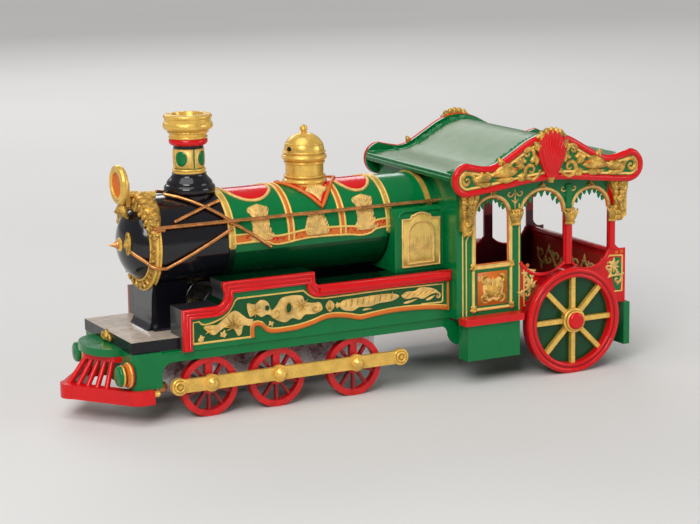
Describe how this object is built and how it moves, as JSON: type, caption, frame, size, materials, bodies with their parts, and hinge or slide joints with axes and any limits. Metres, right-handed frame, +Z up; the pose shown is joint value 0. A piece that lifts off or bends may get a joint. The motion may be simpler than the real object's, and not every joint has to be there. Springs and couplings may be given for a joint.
{
  "type": "clockwork train locomotive",
  "caption": "Wind-up tinplate locomotive with an arched open cab, spoked wheels, coupling rods and a spring motor behind the frames.",
  "frame": {"origin": "on the plane the wheels stand on, under the middle of the whole train's box", "axes": "-X is the way the train faces, +X its cab end, -Y its left side, +Z up"},
  "size_m": [0.3296, 0.112, 0.1555],
  "materials": {
    "green_tin": "gloss lithographed tinplate",
    "dark_green_tin": "gloss lithographed tinplate",
    "red_paint": "gloss",
    "black_enamel": "gloss",
    "gold_plate": "polished",
    "copper_wire": "polished",
    "tin_interior": "gloss maroon lithograph",
    "bright_steel": "satin",
    "gear_brass": "satin",
    "spring_steel": "blued"
  },
  "bodies": {
    "locomotive_body": {"chassis_frame": "green_tin", "front_beam": "green_tin", "tank_left": "green_tin", "tank_right": "green_tin", "firebox_casing": "green_tin", "boiler": "green_tin", "cab_front_wall": "green_tin", "cab_side_left": "green_tin", "cab_side_right": "green_tin", "cab_roof": "green_tin", "gable_left": "green_tin", "gable_right": "green_tin", "cab_steps": "green_tin", "rear_beam": "green_tin", "chimney_tube": "green_tin", "front_deck": "black_enamel", "smokebox": "black_enamel", "smokebox_saddle": "black_enamel", "smokebox_door": "black_enamel", "chimney_base": "black_enamel", "pilot": "red_paint", "buffers": "red_paint", "tank_mouldings": "red_paint", "cab_columns": "red_paint", "gable_plaques": "red_paint", "dome_cloth": "red_paint", "cab_parapet": "tin_interior", "cab_floor": "tin_interior", "smokebox_ring": "gold_plate", "headlamp": "gold_plate", "chimney_cap": "gold_plate", "boiler_bands": "gold_plate", "steam_dome": "gold_plate", "corner_brackets": "gold_plate", "handrails": "copper_wire", "motor_plate_left": "bright_steel", "motor_plate_right": "bright_steel", "motor_pillars": "bright_steel", "mainspring": "spring_steel"},
    "front_wheelset": {"front_driving_wheels": "red_paint", "front_axle": "bright_steel"},
    "middle_wheelset": {"middle_driving_wheels": "red_paint", "middle_axle": "bright_steel", "axle_pinion": "gear_brass"},
    "back_wheelset": {"back_driving_wheels": "red_paint", "back_axle": "bright_steel"},
    "left_coupling_rod": {"coupling_rod_left": "gold_plate"},
    "right_coupling_rod": {"coupling_rod_right": "gold_plate"},
    "trailing_wheelset": {"trailing_wheels": "red_paint", "trailing_spokes": "gold_plate", "hub_caps": "red_paint", "trailing_axle": "bright_steel"},
    "intermediate_gear": {"intermediate_wheel": "gear_brass", "intermediate_pinion": "gear_brass"},
    "great_gear": {"great_wheel": "gear_brass", "click": "bright_steel"},
    "governor_fan": {"governor": "gear_brass"},
    "winder": {"winding_arbor": "bright_steel", "winding_key": "bright_steel"},
    "brake": {"brake_rod": "bright_steel"}
  },
  "joints": [
    {"name": "middle_wheels_spin", "type": "hinge", "parent": "locomotive_body", "child": "middle_wheelset", "pos_m": [-0.056, 0, 0.0161], "axis": [0, 1, 0], "continuous": true},
    {"name": "front_wheels_spin", "type": "hinge", "parent": "locomotive_body", "child": "front_wheelset", "pos_m": [-0.095, 0, 0.0161], "axis": [0, 1, 0], "continuous": true},
    {"name": "back_wheels_spin", "type": "hinge", "parent": "locomotive_body", "child": "back_wheelset", "pos_m": [-0.01, 0, 0.0161], "axis": [0, 1, 0], "continuous": true},
    {"name": "left_rod_pivot", "type": "hinge", "parent": "middle_wheelset", "child": "left_coupling_rod", "pos_m": [-0.056, -0.0368, 0.0187], "axis": [0, 1, 0], "continuous": true},
    {"name": "right_rod_pivot", "type": "hinge", "parent": "middle_wheelset", "child": "right_coupling_rod", "pos_m": [-0.0534, 0.0368, 0.0161], "axis": [0, 1, 0], "continuous": true},
    {"name": "trailing_wheels_spin", "type": "hinge", "parent": "locomotive_body", "child": "trailing_wheelset", "pos_m": [0.1194, 0, 0.03], "axis": [0, 1, 0], "continuous": true},
    {"name": "intermediate_gear_spin", "type": "hinge", "parent": "locomotive_body", "child": "intermediate_gear", "pos_m": [-0.06246, 0, 0.03386], "axis": [0, 1, 0], "continuous": true},
    {"name": "great_wheel_spin", "type": "hinge", "parent": "locomotive_body", "child": "great_gear", "pos_m": [-0.04994, 0.0055, 0.04802], "axis": [0, 1, 0], "continuous": true},
    {"name": "governor_spin", "type": "hinge", "parent": "locomotive_body", "child": "governor_fan", "pos_m": [-0.07762, 0, 0.04261], "axis": [0, 1, 0], "continuous": true},
    {"name": "winding_key_turn", "type": "hinge", "parent": "locomotive_body", "child": "winder", "pos_m": [-0.04994, 0, 0.04802], "axis": [0, 1, 0], "continuous": true},
    {"name": "brake_rod_slide", "type": "slide", "parent": "locomotive_body", "child": "brake", "axis": [-1, 0, 0], "range_m": [0, 0.0012]}
  ],
  "couplings": [
    {"joint": "front_wheels_spin", "follows": "middle_wheels_spin", "ratio": 1},
    {"joint": "back_wheels_spin", "follows": "middle_wheels_spin", "ratio": 1},
    {"joint": "left_rod_pivot", "follows": "middle_wheels_spin", "ratio": -1},
    {"joint": "right_rod_pivot", "follows": "middle_wheels_spin", "ratio": -1},
    {"joint": "intermediate_gear_spin", "follows": "middle_wheels_spin", "ratio": -0.35},
    {"joint": "great_wheel_spin", "follows": "middle_wheels_spin", "ratio": 0.1},
    {"joint": "governor_spin", "follows": "middle_wheels_spin", "ratio": 1.4}
  ]
}
